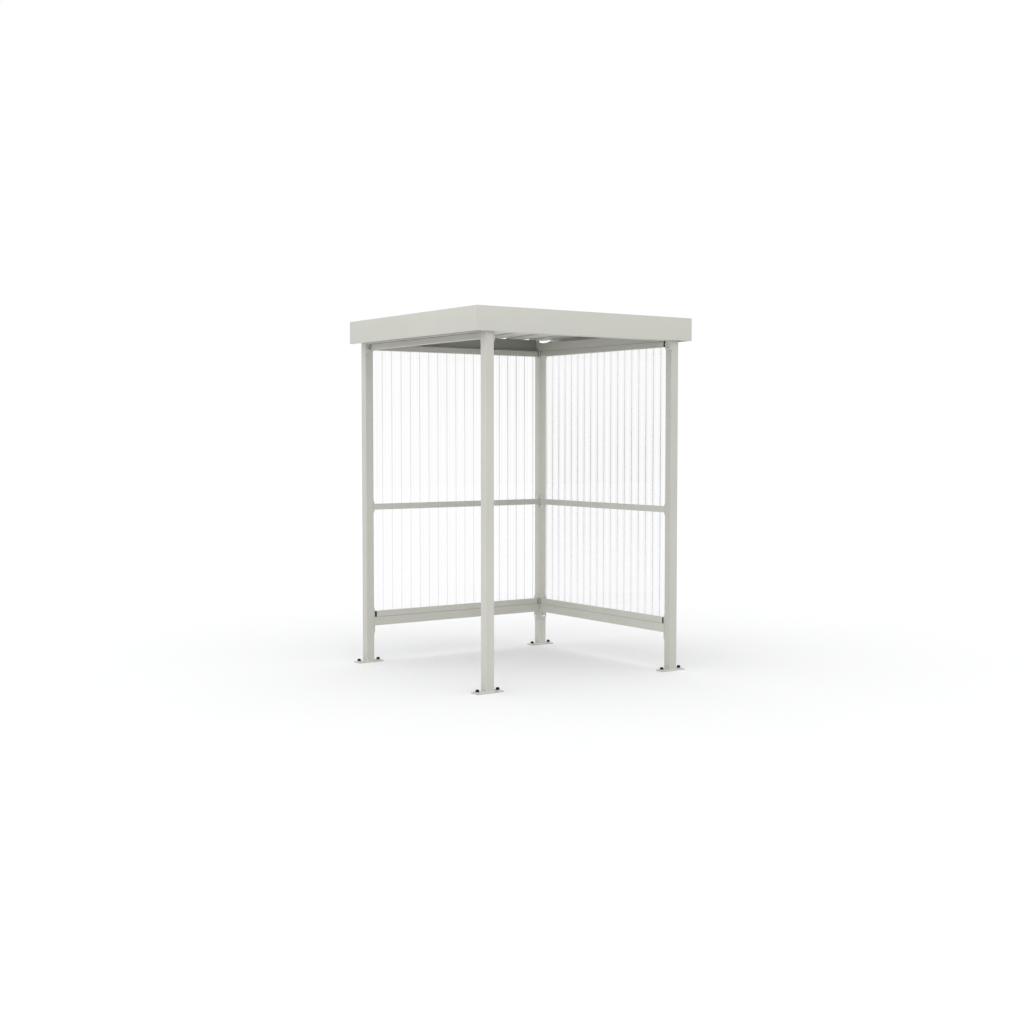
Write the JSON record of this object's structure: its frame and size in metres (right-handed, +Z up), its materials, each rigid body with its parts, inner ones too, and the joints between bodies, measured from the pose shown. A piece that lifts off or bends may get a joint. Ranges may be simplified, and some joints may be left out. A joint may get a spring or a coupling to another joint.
{
  "type": "smoking shelter",
  "caption": "Small open smoking shelter: pale steel tube frame on four base plates, two clear corrugated walls, two open sides, ribbed roof in a deep fascia.",
  "frame": {"origin": "on the ground under the middle of the overall outline", "axes": "+Z up; the open front faces -Y; +X to the right as seen from the front; walls on the +Y and +X sides"},
  "size_m": [1.714, 1.5806, 2.35],
  "materials": {
    "coated_steel": "satin powder coat, pale warm grey",
    "clear_sheet": "clear glossy corrugated sheet",
    "roof_steel": "satin coated ribbed sheet, pale grey",
    "black_plastic": "matt black caps"
  },
  "bodies": {
    "root": {"post_front_left": "coated_steel", "post_front_right": "coated_steel", "post_back_left": "coated_steel", "post_back_right": "coated_steel", "base_plate_front_left": "coated_steel", "base_plate_front_right": "coated_steel", "base_plate_back_left": "coated_steel", "base_plate_back_right": "coated_steel", "back_bottom_beam": "coated_steel", "back_bottom_batten": "coated_steel", "back_mid_rail": "coated_steel", "back_top_batten": "coated_steel", "back_roof_angle": "coated_steel", "back_wall_sheet": "clear_sheet", "right_bottom_beam": "coated_steel", "right_bottom_batten": "coated_steel", "right_mid_rail": "coated_steel", "right_top_batten": "coated_steel", "right_top_beam": "coated_steel", "right_wall_sheet": "clear_sheet", "left_top_beam": "coated_steel", "left_top_batten": "coated_steel", "front_top_beam": "coated_steel", "front_roof_bearer": "coated_steel", "back_bottom_end_plates": "coated_steel", "right_bottom_end_plates": "coated_steel", "back_mid_end_plates": "coated_steel", "right_mid_end_plates": "coated_steel", "back_top_end_plates": "coated_steel", "right_top_end_plates": "coated_steel", "left_top_end_plates": "coated_steel", "front_top_end_plates": "coated_steel", "bottom_batten_caps": "black_plastic", "top_batten_caps": "black_plastic", "post_caps": "black_plastic", "fascia_front": "coated_steel", "fascia_left": "coated_steel", "fascia_right": "coated_steel", "fascia_brackets_left": "coated_steel", "fascia_brackets_right": "coated_steel", "fascia_brackets_front": "coated_steel", "roof_sheet": "roof_steel"}
  },
  "joints": []
}
